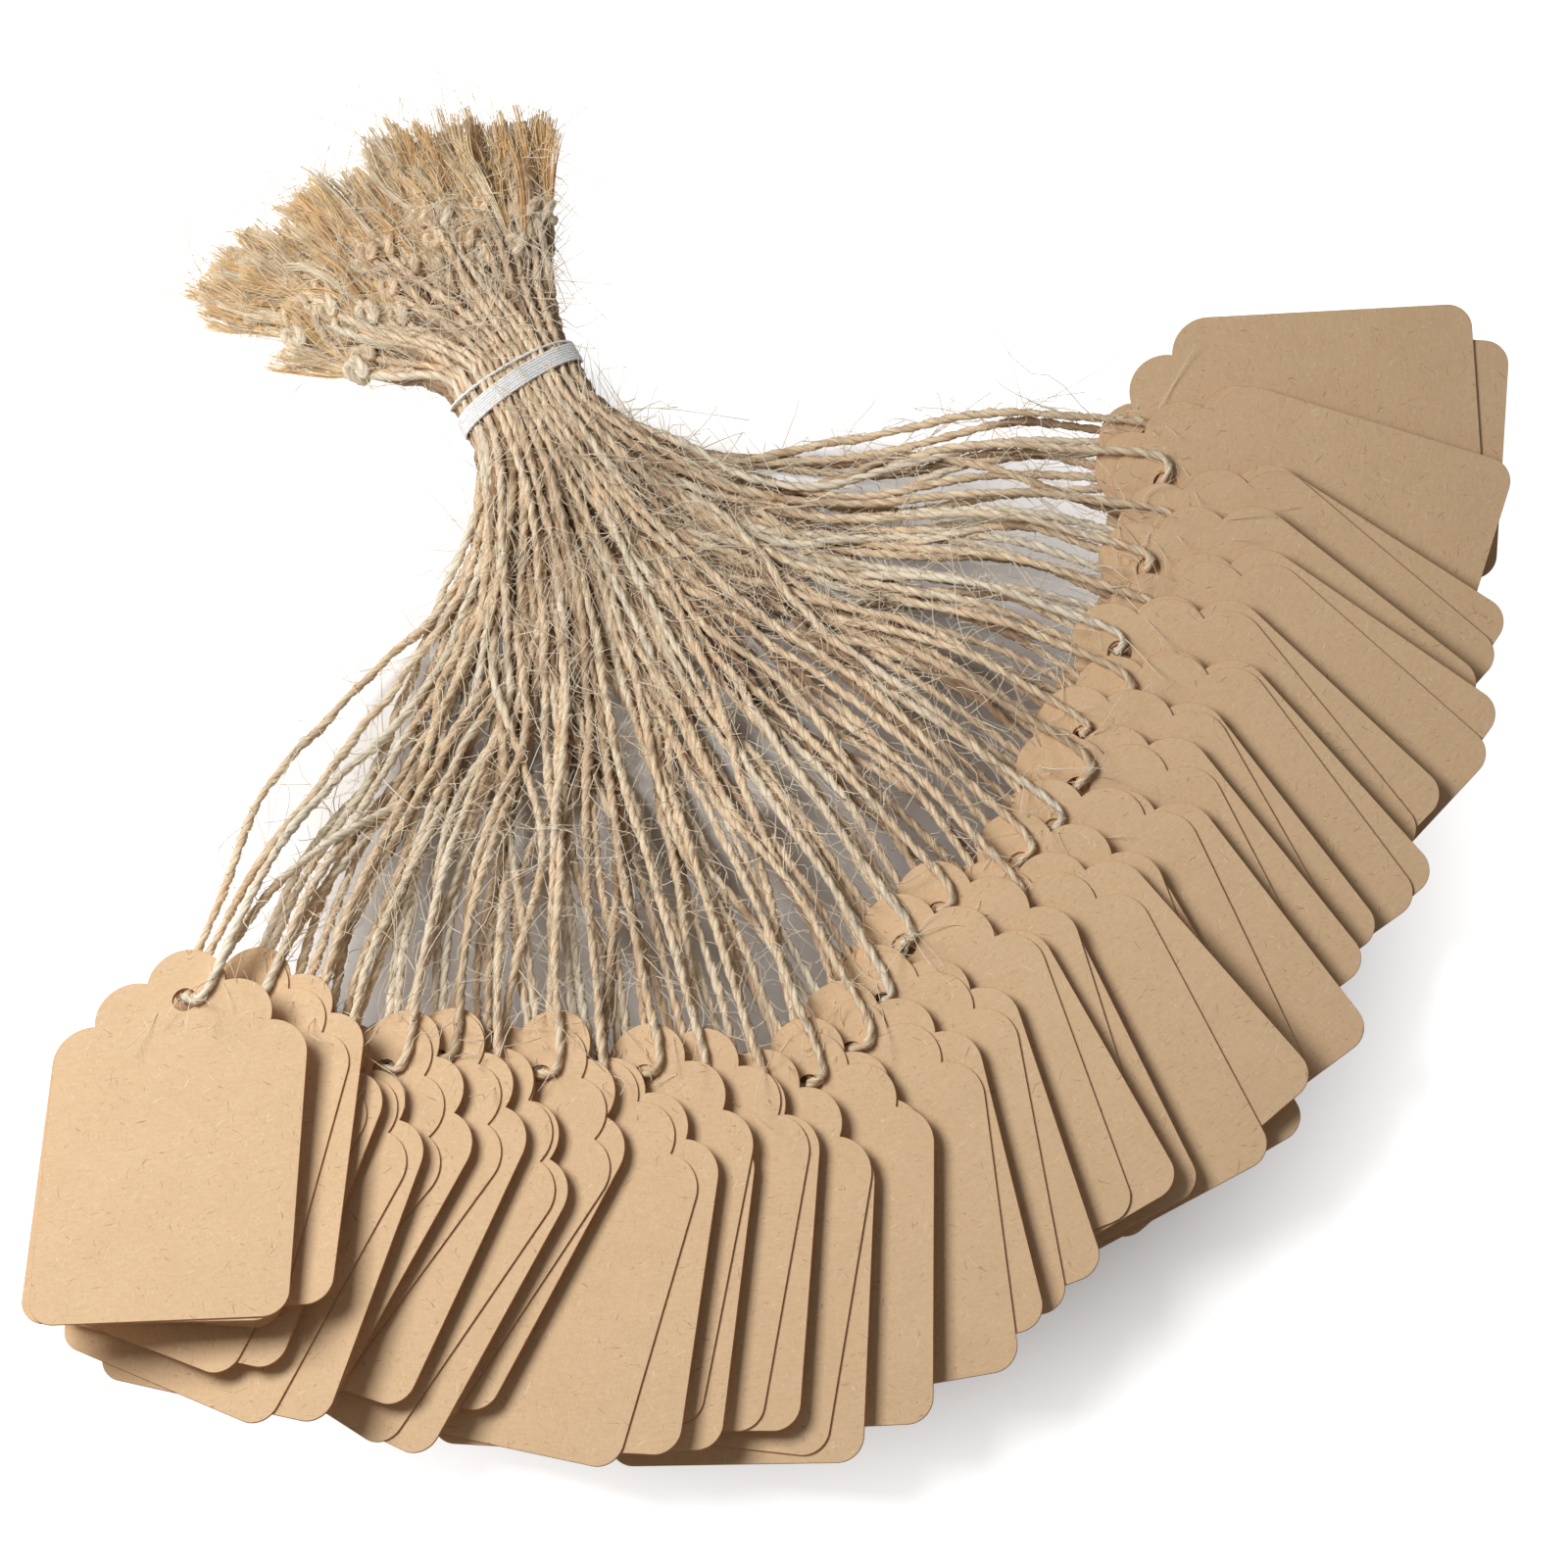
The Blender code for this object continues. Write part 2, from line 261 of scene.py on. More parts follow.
def kraftMaterial(name, edge=False):
    kraft = nodeTree(name)
    kraft.shader.inputs["Roughness"].default_value = 0.85
    kraft.shader.inputs["Specular IOR Level"].default_value = 0.2
    place = kraft.add("ShaderNodeTexCoord").outputs["Object"]
    chance = kraft.add("ShaderNodeObjectInfo").outputs["Random"]
    shift = kraft.add("ShaderNodeVectorMath", operation="ADD")
    kraft.join(place, shift.inputs[0])
    spread = kraft.add("ShaderNodeCombineXYZ")
    kraft.join(kraft.sums("MULTIPLY", chance, 7.0), spread.inputs["X"])
    kraft.join(kraft.sums("MULTIPLY", chance, 3.0), spread.inputs["Y"])
    kraft.join(spread.outputs[0], shift.inputs[1])
    place = shift.outputs[0]  # every card has its own flecks
    cloud = kraft.noise(place, 90, 3)
    pulp = kraft.noise(place, 1500, 3, 0.65, stretch=(0.4, 1.4, 1), turn=(0, 0, 0.15))
    grain = kraft.noise(place, 2300, 2, 0.6, stretch=(0.5, 1.4, 1), turn=(0, 0, 2.1))
    tone = kraft.sums("ADD", kraft.sums("MULTIPLY", pulp, 0.45), kraft.sums("MULTIPLY", grain, 0.35))
    tone = kraft.sums("ADD", tone, kraft.sums("MULTIPLY", cloud, 0.2))
    colour = kraft.mix(kraft.span(tone, 0.36, 0.64), kraftLook["dark"], kraftLook["light"])
    for tint, turns, share in (("fibreDark", "darkTurns", 0.55), ("fibrePale", "paleTurns", 0.5)):
        for turn in kraftLook[turns]:
            strokes = kraft.noise(place, 800, 0, 0.4, stretch=(0.55, 5.0, 1), turn=(0, 0, turn), warp=0.9)
            start = kraftLook["sparse"]
            colour = kraft.mix(kraft.span(strokes, start, start + 0.04, 0, share), colour, kraftLook[tint])
    if edge:
        colour = kraft.mix(0.8, colour, kraftLook["edge"])
    kraft.join(colour, kraft.shader.inputs["Base Color"])
    kraft.bump(pulp, 0.12, 0.0002)
    return kraft.material


juteLook = {
    # painted shade for the valleys between the two plies
    "shade": (0.21, 0.11, 0.045, 1),
    "dull": (0.78, 0.505, 0.30, 1),
    "bright": (1.0, 0.85, 0.60, 1),
    "pale": (1.0, 0.93, 0.76, 1),
    "brown": (0.28, 0.155, 0.075, 1),
    "rust": (0.88, 0.50, 0.21, 1),
    "gold": (0.96, 0.69, 0.35, 1),
}


def juteMaterial(name):
    jute = nodeTree(name)
    jute.shader.inputs["Roughness"].default_value = 0.7
    jute.shader.inputs["Specular IOR Level"].default_value = 0.3
    jute.shader.inputs["Sheen Weight"].default_value = 0.2
    lay = jute.add("ShaderNodeAttribute", attribute_name="lay").outputs["Vector"]
    split = jute.add("ShaderNodeSeparateXYZ")
    jute.join(lay, split.inputs[0])
    fibre = jute.noise(lay, 1.0, 3, 0.65, stretch=(260, 15, 60))
    colour = jute.mix(jute.span(fibre, 0.36, 0.62), juteLook["dull"], juteLook["bright"])
    place = jute.add("ShaderNodeTexCoord").outputs["Object"]
    patch = jute.noise(place, 60, 2)
    colour = jute.mix(jute.span(patch, 0.60, 0.76, 0, 0.3), colour, juteLook["rust"])
    drift = jute.sums("MULTIPLY", jute.sums("SUBTRACT", jute.noise(place, 45, 2), 0.5), 1.0)
    # tone is each twine's own lightness, less the painted shade where other twine lies over it; high tone
    # mixes in pale, low tone mixes in brown
    tone = jute.sums("ADD", split.outputs["Z"], drift)
    colour = jute.mix(jute.span(tone, 0.5, 1.0, 0, 0.75), colour, juteLook["pale"])
    colour = jute.mix(jute.span(tone, -0.3, 0.4, 0.85, 0), colour, juteLook["brown"])
    colour = jute.mix(jute.span(tone, 1.0, 2.0, 0, 1), colour, juteLook["gold"])  # the combed-out ends
    colour = jute.mix(jute.span(tone, 2.0, 2.7, 0, 0.6), colour, juteLook["rust"])
    # painted shade: darker along the valleys between the two plies, where the plies meet
    turn = jute.sums("MULTIPLY", split.outputs["Y"], 2 * math.pi)
    valley = jute.sums("ABSOLUTE", jute.sums("COSINE", turn, 0), 0)
    colour = jute.mix(jute.span(valley, 0.0, 0.45, 0.42, 0), colour, juteLook["shade"])
    jute.join(colour, jute.shader.inputs["Base Color"])
    jute.bump(fibre, 0.6, 0.0003)
    return jute.material


cottonLook = {
    "shade": (0.95, 0.945, 0.94, 1),
    "white": (1.0, 1.0, 1.0, 1),
}


def cottonMaterial(name):
    cotton = nodeTree(name)
    cotton.shader.inputs["Roughness"].default_value = 0.6
    cotton.shader.inputs["Sheen Weight"].default_value = 0.2
    lay = cotton.add("ShaderNodeAttribute", attribute_name="lay").outputs["Vector"]
    fibre = cotton.noise(lay, 1.0, 2, 0.5, stretch=(300, 8, 1))
    colour = cotton.mix(cotton.span(fibre, 0.3, 0.7), cottonLook["shade"], cottonLook["white"])
    cotton.join(colour, cotton.shader.inputs["Base Color"])
    cotton.bump(fibre, 0.3, 0.0002)
    return cotton.material


kraftFace = kraftMaterial("kraft_face")
kraftEdge = kraftMaterial("kraft_cut_edge", edge=True)
jute = juteMaterial("jute_fibre")
cotton = cottonMaterial("cotton_white")
print("materials made")


# Strands: every tag's loop, from its frayed end through the tie to the hole in the card

strandShape = {
    "offTable": 0.00125,
    "contact": 0.00138,  # how close two strands' middles lie where they touch
    "tailPoints": 16,
    "backPoints": 28,
    "tiePoints": 10,
    "runPoints": 86,
    "finePoints": 300,
    "facePoints": 16,
    "tailLength": (0.024, 0.036),
    "tailPull": 0.4,
    "outerTails": 0.25,  # how much shorter the tails at the low side are
    "outerFrom": 22,
    "tipSpray": 0.004,
    "tipLift": (-0.003, 0.001),
    "knotAt": (0.018, 0.036),  # from the tie's back edge
    "knotBase": 0.0015,
    "knotStack": 0.9,  # how much of its height in the hank a knot keeps
    "knotApart": 0.0006,
    "knotPull": 0.35,
    "knotRise": 0.0033,
    "knotReach": 0.0025,
    "backPull": 0.3,
    "flare": 28,
    "flareScatter": (-8, 8),
    "flareEnds": (-39, 22),
    "bend": 12,  # the tails lie this far round from the hank's own heading
    "pullTie": 0.021,
    "pullCard": 0.034,
    "pastHead": 0.0218,  # from the hole to where a strand leaves its card's layer
    "inHole": 0.0013,
    "overCard": 0.0011,
    "underCard": 0.0013,
    "lanes": (  # past the head, at the hole
        (-0.0008, 0.0),
        (0.0011, 0.00075),
        (-0.0030, -0.0007),
        (0.0034, 0.00215),
    ),
    "laneScatter": 0.0009,
    "hook": (0.0025, 0.0085),  # how far aside a loop swings before it turns into its hole
    "hookIn": 0.0010,
    "hookDip": 0.35,
    "hookLean": 0.55,
    "hookPull": 0.6,
    "sag": (0.002, 0.011),
    "falls": (0.12, 0.5),  # where along its run a strand comes down, and over how much of it
    "rises": (0.45, 0.55),
    "sway": (0.0050, 0.0085),  # of the upper and the lower strands
    "swayWaves": ((0.6, 1.0), (1.3, 0.55), (2.6, 0.22)),
    "swayEnds": 1.2,
    "mix": 2.2,  # how far the loops are out of order in the hank, in places
    "steps": 80,
    "fall": 0.00010,
    "fallSteps": 0.75,
    "push": 1.5,
    "stiffness": 0.35,
    "lastPasses": 6,
    "hookEase": (0.8, 0.6, 0.4, 0.2, 0, 0),  # of the last smoothing, towards the hole
    "landing": 34,  # points over which a strand lifts from the pile to its card
    "kink": 0.00012,
    "kinkWaves": (19, 11),
    "coverReach": 0.0040,
    "coverAside": 0.0016,
    "coverRise": 0.0009,
    "coverFull": 4,  # so many strands on top cover a point fully and give it the full painted shade
    "seed": 5,
}


def hankPlaces(count):
    gap = hank["strandGap"]
    reach = range(-count, count + 1)
    places = [((i + 0.5 * (j % 2)) * gap, (j + 0.5) * gap * math.sqrt(3) / 2) for i in reach for j in reach]
    places.sort(key=lambda spot: (round(math.hypot(spot[0] / hank["flatness"], spot[1]), 7), spot))
    chosen = sorted(places[:count])
    groups = [sorted(chosen[k : k + 4], key=lambda spot: -spot[1]) for k in range(0, count, 4)]
    chance = random.Random(strandShape["seed"])
    order = sorted(range(len(groups)), key=lambda k: k + chance.uniform(-1, 1) * strandShape["mix"])
    return np.array([spot for k in order for spot in groups[k]])


def cardFrame(name):
    joint = holding[name]
    hole = np.array(joint["pos_m"])
    normal = unit(np.array(joint["axis"]))
    corners = np.array([corner.co for corner in frame["nodes"][name].data.vertices])
    toHead = hole - corners.mean(0)
    toHead = unit(toHead - normal * (toHead @ normal))
    return hole, normal, toHead


cardFrames = [cardFrame(name) for name in cardNames]

mateShape = {
    "below": 0.00045,  # under the card that it lies against
    "uphill": (3.5, 13),
    "downhill": (2, 9),
    "along": 0.007,
    "aside": 0.0015,
    "firstTurn": -1.5,
    "lastTurn": math.degrees(0.1),
    "tucked": 6,  # so many, counted from the topmost, stay close under their cards
    "tuckedAlong": 0.004,
    "corners": ((-0.0225, -0.0602), (0.0225, -0.0602), (-0.0225, -0.0116)),
    "offTable": 0.0016,
    "seed": 8,
}


def turned(vector, normal, angle):
    return vector * math.cos(angle) + np.cross(normal, vector) * math.sin(angle)


def mateFrames():
    # a second card lies against each one, on the same loop of the fan but not quite in line with it
    shape = mateShape
    chance = random.Random(shape["seed"])
    frames = []
    for k, (hole, normal, toHead) in enumerate(cardFrames):
        right = np.cross(toHead, normal)
        place = hole - normal * shape["below"] + toHead * chance.uniform(-1, 0.6) * shape["along"]
        place = place + right * chance.uniform(-1, 1) * shape["aside"]
        choices = [-chance.uniform(*shape["downhill"]), chance.uniform(*shape["uphill"])]
        if chance.random() < 0.5 and k < len(cardFrames) - 2:
            choices.reverse()
        if k < shape["tucked"]:  # nothing shows round the topmost card
            along = shape["tuckedAlong"] * chance.random() if k else 0
            place = hole - normal * shape["below"] + toHead * along
            choices = [chance.uniform(*shape["uphill"]) if k else shape["firstTurn"]]
        for angle in choices + [shape["lastTurn"]]:
            head = turned(toHead, normal, math.radians(angle))
            side = np.cross(head, normal)
            if min((place + side * x + head * y)[2] for x, y in shape["corners"]) > shape["offTable"]:
                break
        frames.append((place, normal, head))
    return frames


mates = mateFrames()


def strandRoutes():
    shape = strandShape
    chance = random.Random(shape["seed"])
    swings = random.Random(shape["seed"] + 2)
    places = hankPlaces(4 * len(cardFrames))
    halfWide = abs(places[:, 0]).max()
    halfHigh = abs(places[:, 1]).max()
    routes = []
    for k, (hole, normal, toHead) in enumerate(cardFrames):
        quad = places[4 * k : 4 * k + 4]
        inward = tieMiddle + forward * hank["half"] - hole
        inward = unit(inward - normal * (inward @ normal))
        lateral = np.cross(normal, inward)
        fans = []
        for pair in (0, 1):  # the tag's own twine and its mate's
            flare = shape["flare"] * quad[pair, 0] / halfWide + chance.uniform(*shape["flareScatter"])
            flare -= shape["bend"]
            flare = math.radians(min(max(flare, shape["flareEnds"][0]), shape["flareEnds"][1]))
            outward = -forward * math.cos(flare) + across * math.sin(flare)
            outer = ease((-math.degrees(flare) - shape["outerFrom"]) / shape["outerFrom"])
            tail = chance.uniform(*shape["tailLength"]) * (1 - shape["outerTails"] * outer)
            fans.append((outward, chance.uniform(*shape["knotAt"]), tail))
        for n in range(4):
            pair, side = n % 2, 1 if n < 2 else -1
            outward, row, tail = fans[pair]
            sideways = np.cross(up, outward)
            seat = tieMiddle + across * quad[n, 0] + up * quad[n, 1]
            front, back = seat + forward * hank["half"], seat - forward * hank["half"]
            rise = shape["knotBase"] + (quad[pair, 1] + halfHigh) * shape["knotStack"]
            knot = back * [1, 1, 0] + outward * row + up * rise + sideways * side * shape["knotApart"]
            spray = chance.uniform(0.1, 0.9) * shape["tipSpray"]
            tip = knot + outward * tail + sideways * side * spray + up * chance.uniform(*shape["tipLift"])
            pull = outward * tail * shape["tailPull"]
            tailRun = bezier(tip, tip - pull, knot + pull, knot, shape["tailPoints"])
            fromKnot, toBack = outward * row * shape["knotPull"], forward * row * shape["backPull"]
            backRun = bezier(knot, knot - fromKnot, back - toBack, back, shape["backPoints"])
            tieRun = np.linspace(back, front, shape["tiePoints"])
            layer = normal * (shape["overCard"] if n == 0 else -shape["underCard"])
            away, close = shape["lanes"][n]
            away += chance.uniform(-1, 1) * shape["laneScatter"]
            head = hole + inward * shape["pastHead"] + lateral * away + layer
            ownHole = mates[k][0] + normal * mateShape["below"] if pair else hole
            rim = ownHole + inward * shape["inHole"] + lateral * close + layer
            toTie = unit(head - rim)
            if n == 0:  # the strand that shows hangs slack and hooks into the hole from one side
                aside = lateral * swings.uniform(*shape["hook"])
                head = head - aside * shape["hookLean"]
                rim = hole - lateral * shape["hookIn"] + layer
                turnIn = rim - aside - inward * np.linalg.norm(aside) * shape["hookDip"]
                overHead = head - toTie * shape["pastHead"] * shape["hookPull"]
                faceRun = bezier(head, overHead, turnIn, rim, shape["facePoints"] + 1)[1:]
            else:
                faceRun = np.linspace(head, rim, shape["facePoints"] + 1)[1:]
            fromTie, toCard = front + forward * shape["pullTie"], head + toTie * shape["pullCard"]
            run = bezier(front, fromTie, toCard, head, shape["finePoints"])
            share = np.linspace(0, 1, shape["finePoints"])
            low = chance.uniform(*shape["sag"])
            fallen, risen = (ease((share - start) / over) for start, over in (shape["falls"], shape["rises"]))
            run[:, 2] = front[2] + (low - front[2]) * fallen + (head[2] - low) * risen
            run = evenly(run, shape["runPoints"])
            share = np.linspace(0, 1, shape["runPoints"])
            slope = unit(np.gradient(run, axis=0) * [1, 1, 0])
            swing = np.zeros(len(run))
            for waves, part in shape["swayWaves"]:
                height = part * chance.uniform(-1, 1)
                swing += height * np.sin(2 * math.pi * (waves * share + chance.random()))
            swing = swing * shape["sway"][n // 2] * np.sin(math.pi * share) ** shape["swayEnds"]
            run += np.cross(up, slope) * swing[:, None]
            routes.append(np.concatenate([tailRun[:-1], backRun[:-1], tieRun, run[1:], faceRun]))
    return np.array(routes)


def closePairs(points, reach):
    cell = np.floor(points / reach).astype(np.int64)
    cell -= cell.min(0) - 1
    spans = cell.max(0) + 2
    key = (cell[:, 0] * spans[1] + cell[:, 1]) * spans[2] + cell[:, 2]
    order = np.argsort(key, kind="stable")
    ranked = key[order]
    half = [(x, y, z) for x in (-1, 0, 1) for y in (-1, 0, 1) for z in (-1, 0, 1) if (x, y, z) >= (0, 0, 0)]
    found = []
    for x, y, z in half:
        wanted = key + (x * spans[1] + y) * spans[2] + z
        start = np.searchsorted(ranked, wanted, "left")
        count = np.searchsorted(ranked, wanted, "right") - start
        one = np.repeat(np.arange(len(points)), count)
        run = np.arange(count.sum()) - np.repeat(np.cumsum(count) - count, count)
        other = order[np.repeat(start, count) + run]
        if (x, y, z) == (0, 0, 0):
            keep = one < other
            one, other = one[keep], other[keep]
        found.append((one, other))
    return np.concatenate([pair[0] for pair in found]), np.concatenate([pair[1] for pair in found])


def softened(values, times):
    for _ in range(times):
        padded = np.concatenate([values[:, :1], values, values[:, -1:]], 1)
        values = (padded[:, :-2] + 2 * padded[:, 1:-1] + padded[:, 2:]) / 4
    return values


def settle(routes):
    # strands sink and push each other apart until they lie on the table and on one another
    shape = strandShape
    strands, count, _ = routes.shape
    tieStart = shape["tailPoints"] + shape["backPoints"] - 2
    free = np.ones(count)
    free[tieStart - 1 : tieStart + shape["tiePoints"] + 1] = 0
    free[-shape["facePoints"] - 3 :] = 0
    fixed = np.flatnonzero(free == 0)
    nearest = np.abs(np.arange(count)[:, None] - fixed[None]).min(1)
    falling = ease(nearest / shape["landing"])
    free = softened(free[None, :, None], 2) * (free[None, :, None] > 0)
    strandOf = np.repeat(np.arange(strands), count)
    tagOf = strandOf // 4 * 2 + strandOf % 2
    knotAt = shape["tailPoints"] - 1
    ends = np.arange(strands).reshape(-1, 2, 2).transpose(0, 2, 1).reshape(-1, 2)  # each twine's two strands
    lowest = np.full(count, shape["offTable"])
    lowest[knotAt - 1 : knotAt + 2] = shape["knotRise"]
    points = routes.copy()
    for step in range(shape["steps"]):
        if step < shape["steps"] * shape["fallSteps"]:
            points[:, :, 2] -= shape["fall"] * falling[None]
        flat = points.reshape(-1, 3)
        one, other = closePairs(flat, shape["contact"])
        apart = strandOf[one] != strandOf[other]
        one, other = one[apart], other[apart]
        gap = flat[one] - flat[other]
        distance = np.linalg.norm(gap, axis=1) + 1e-9
        touching = distance < shape["contact"]
        one, other, gap, distance = one[touching], other[touching], gap[touching], distance[touching]
        push = gap * ((shape["contact"] - distance) / distance * 0.5)[:, None]
        moved = np.zeros_like(flat)
        for axis in range(3):
            moved[:, axis] += np.bincount(one, push[:, axis], len(flat))
            moved[:, axis] -= np.bincount(other, push[:, axis], len(flat))
        hits = np.bincount(one, minlength=len(flat)) + np.bincount(other, minlength=len(flat))
        moved /= np.maximum(1, hits / 2)[:, None]
        centres = points[ends, knotAt].mean(1)
        for n, centre in enumerate(centres):  # a knot is thicker than the strands around it
            gap = flat - centre
            distance = np.linalg.norm(gap, axis=1) + 1e-9
            inside = (distance < shape["knotReach"] + shape["contact"] / 2) & (tagOf != n)
            depth = shape["knotReach"] + shape["contact"] / 2 - distance[inside]
            moved[inside] += gap[inside] * (depth / distance[inside] * 0.5)[:, None]
        points += softened(moved.reshape(points.shape), 3) * shape["push"] * free
        points += (softened(points, 2) - points) * shape["stiffness"] * free
        points[:, :, 2] = np.maximum(points[:, :, 2], lowest)
    easy = np.ones(count)
    easy[tieStart - 1 : tieStart + shape["tiePoints"] + 1] = 0
    easy[-len(shape["hookEase"]) :] = shape["hookEase"]
    points += (softened(points, shape["lastPasses"]) - points) * easy[None, :, None]
    chance = random.Random(shape["seed"] + 1)
    places = np.arange(count)
    for strand in points:  # jute keeps small bends from the spool
        for waves in shape["kinkWaves"]:
            aside = np.array([chance.gauss(0, 1) for _ in range(3)]) * shape["kink"]
            wave = np.sin(2 * math.pi * (places / waves + chance.random()))
            strand += aside * (wave * free[0, :, 0] * falling)[:, None]
    points[:, :, 2] = np.maximum(points[:, :, 2], lowest)
    print(f"strands settled: {touching.sum()} touching pairs")
    return points


def buried(routes):
    # the share of other twine lying on top of each point, which darkens that point as painted shade
    flat = routes.reshape(-1, 3)
    covered = np.zeros(len(flat))
    one, other = closePairs(flat, strandShape["coverReach"])
    beside = np.linalg.norm((flat[one] - flat[other])[:, :2], axis=1) < strandShape["coverAside"]
    rise = flat[one, 2] - flat[other, 2]
    for above, below in ((rise, other), (-rise, one)):
        on = beside & (above > strandShape["coverRise"])
        covered += np.bincount(below[on], minlength=len(flat))
    covered = softened((covered / strandShape["coverFull"]).reshape(*routes.shape[:2], 1), 3)
    return np.clip(covered[..., 0], 0, 1)


routes = settle(strandRoutes())
shadeCover = buried(routes)
print(f"covered: {shadeCover.mean():.2f} of the twine")


# The twine itself: two plies laid round each other

twineShape = {
    "plyRadius": 0.00067,
    "plyApart": 0.00024,
    "turn": 0.0078,  # length of one full turn of the plies
    "step": 0.00075,
    "corners": 8,
    "uneven": 0.15,
    "unevenOver": (0.0031, 0.0083),
    "tones": (0.1, 1.0),
    "tailSwell": 1.25,
    "bendPoints": 9,  # of the turn through the hole
    "diameter": 0.0014,
    "dim": 1.0,  # how much painted shade darkens the twine that lies under other twine
    "seed": 23,
}


def plyOutline(corners):
    # two round plies side by side, seen along the twine
    angles = 2 * math.pi * np.arange(corners) / corners
    offset = twineShape["plyApart"] * np.abs(np.cos(angles))
    depth = np.sqrt(twineShape["plyRadius"] ** 2 - (twineShape["plyApart"] * np.sin(angles)) ** 2)
    return offset + depth


def pliesAlong(path, beside, angle, size):
    # beside says where the angles start; size is rings x corners
    tangent = unit(np.gradient(path, axis=0))
    first = unit(beside - (beside * tangent).sum(1, keepdims=True) * tangent)
    second = np.cross(tangent, first)
    corners = size.shape[1]
    around = angle[:, None] + 2 * math.pi * np.arange(corners)[None] / corners
    spokes = first[:, None] * np.cos(around)[..., None] + second[:, None] * np.sin(around)[..., None]
    return path[:, None] + spokes * size[..., None]


def layAlong(travelled, tone):
    corners = twineShape["corners"]
    lay = np.empty((len(travelled), corners, 3))
    lay[..., 0] = travelled[:, None]
    lay[..., 1] = np.arange(corners)[None] / corners
    lay[..., 2] = tone
    return lay


def twistedRings(path, beside, tone, chance, girth, turn):
    shape = twineShape
    travelled = lengthsAlong(path)
    count = max(8, int(travelled[-1] / shape["step"]))
    path, beside = evenly(path, count, beside)
    travelled = np.linspace(0, travelled[-1], count)
    angle = 2 * math.pi * travelled / turn + chance.uniform(0, 6.28)
    long, short = (np.sin(travelled / over + chance.uniform(0, 6)) for over in shape["unevenOver"])
    uneven = 1 + shape["uneven"] * long * short
    girth, tone = (
        np.interp(travelled, np.linspace(0, travelled[-1], len(values)), values) for values in (girth, tone)
    )
    rings = pliesAlong(path, beside, angle, plyOutline(shape["corners"])[None] * (uneven * girth)[:, None])
    lay = layAlong(travelled, tone[:, None])
    return rings[None], lay[None], path


def plainRings(paths, radii, tone, chance, corners=3):
    # thin loose fibres: paths is fibres x points x 3, radii is fibres x points
    ref = unit(np.array([[chance.gauss(0, 1) for _ in range(3)] for _ in paths]))[:, None]
    rings = ringsAlong(paths, np.broadcast_to(ref, paths.shape), np.repeat(radii[..., None], corners, 2))
    lay = np.zeros((*rings.shape[:3], 3))
    lay[..., 0] = np.arange(rings.shape[1])[None, :, None] * 0.001 + np.arange(len(paths))[:, None, None]
    lay[..., 2] = np.asarray(tone).reshape(-1, 1, 1)
    return rings, lay


def wholeTwine(k, pair):
    # both strands of one loop and the bend that joins them at the hole
    upper, lower = routes[4 * k + pair], routes[4 * k + 2 + pair]
    pull = np.linalg.norm(upper[-1] - lower[-1]) * 2 / 3
    enters, leaves = (strand[-1] + unit(strand[-1] - strand[-2]) * pull for strand in (upper, lower))
    bend = bezier(upper[-1], enters, leaves, lower[-1], twineShape["bendPoints"])[1:-1]
    path = np.concatenate([upper, bend, lower[::-1]])
    besides = [unit(np.cross(up, np.gradient(strand, axis=0))) for strand in (upper, lower)]
    beside = np.concatenate([besides[0], np.repeat(besides[0][-1:], len(bend), 0), besides[1][::-1]])
    return path, beside


knotShape = {
    "swell": 0.00058,  # the small circle of the wound strand
    "ring": 0.00132,
    "length": 0.00185,
    "points": 72,
    "girth": 1.15,
}


def knotRings(centre, outward, tone, chance):
    # three crossings of the doubled strand round its own axis, as in a drawn-up overhand knot
    side = unit(np.cross(up, outward))
    rise = np.cross(outward, side)
    turn = np.linspace(0, 2 * math.pi, knotShape["points"], endpoint=False) + chance.uniform(0, 6)
    reach = knotShape["ring"] + knotShape["swell"] * np.cos(3 * turn)
    path = centre + (
        side * (reach * np.cos(2 * turn))[:, None]
        + rise * (reach * np.sin(2 * turn))[:, None]
        + outward * (knotShape["length"] * np.sin(3 * turn))[:, None]
    )
    closed = np.concatenate([path[-2:], path, path[:2]])
    travelled = lengthsAlong(closed)
    whole = travelled[-3] - travelled[2]
    turns = round(whole / twineShape["turn"] * 2) / 2
    angle = 2 * math.pi * turns * (travelled - travelled[2]) / (whole + travelled[1])
    outline = plyOutline(twineShape["corners"]) * knotShape["girth"]
    rings = pliesAlong(closed, closed - centre, angle, np.repeat(outline[None], len(closed), 0))
    lay = layAlong(travelled, tone)
    return rings[None, 2:-2], lay[None, 2:-2]


frayShape = {
    "hairs": 180,
    "hairLength": (0.002, 0.016),
    "hairRadius": 0.000095,
    "hairPoints": 7,
    "hairTones": (0.7, 1.2),
    "rise": 0.9,  # hairs lie over rather than stand
    "lean": (0.25, 1.0),
    "bow": 0.6,
    "curl": 0.30,
    "curlTurns": (2, 8),
    "sideways": (1, 1, 0.5),
    "bareTie": 0.004,  # no hairs so close to the tie
    "bareReach": 0.05,
    "frizz": 24,  # loose hairs on each combed-out end
    "frizzTones": (0.9, 2.2),
    "locks": 6,  # bundles of fibre in each combed-out end
    "lockPoints": 9,
    "lockFibres": 16,
    "lockStart": 0.00025,
    "lockSpread": 0.0016,
    "lockWave": 0.0011,
    "lockTones": (1.0, 2.5),
    "fibreSpread": 0.00042,
    "fibreWave": 0.00020,
    "fibreRadius": 0.000105,
    "fibreTone": 0.35,
    "tipScatter": 0.0026,
    "offTable": (0.00015, 0.0002),  # hairs, locks
}


def scattered(count, chance):
    return np.array([[chance.gauss(0, 1) for _ in range(3)] for _ in range(count)])


